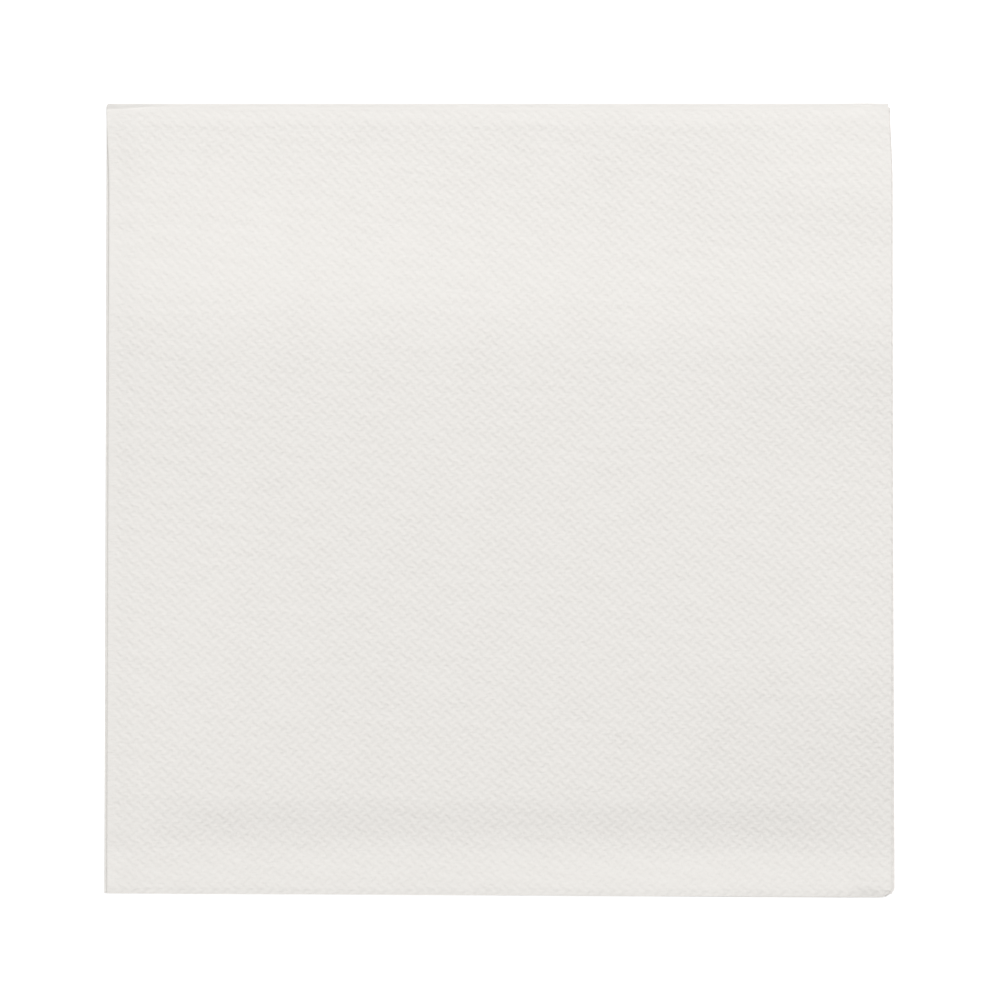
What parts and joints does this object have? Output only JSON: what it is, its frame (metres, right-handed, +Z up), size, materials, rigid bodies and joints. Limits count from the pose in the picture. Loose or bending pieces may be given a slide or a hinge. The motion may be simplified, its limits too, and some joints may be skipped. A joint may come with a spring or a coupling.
{
  "type": "paper napkin",
  "caption": "Square white two-ply paper napkin with an all-over basket-weave embossing, folded twice to a quarter and lying flat.",
  "frame": {"origin": "centre of the folded napkin's outline, on the surface that it lies on", "axes": "+Z up out of the napkin, +Y towards the second fold, -X towards the first fold, so +X and -Y are the sides with the cut edges"},
  "size_m": [0.1988, 0.1998, 0.0031],
  "materials": {
    "tissue": "matte white two-ply tissue, embossed all over with a fine plain basket weave"
  },
  "bodies": {
    "root": {"napkin": "tissue"}
  },
  "joints": []
}
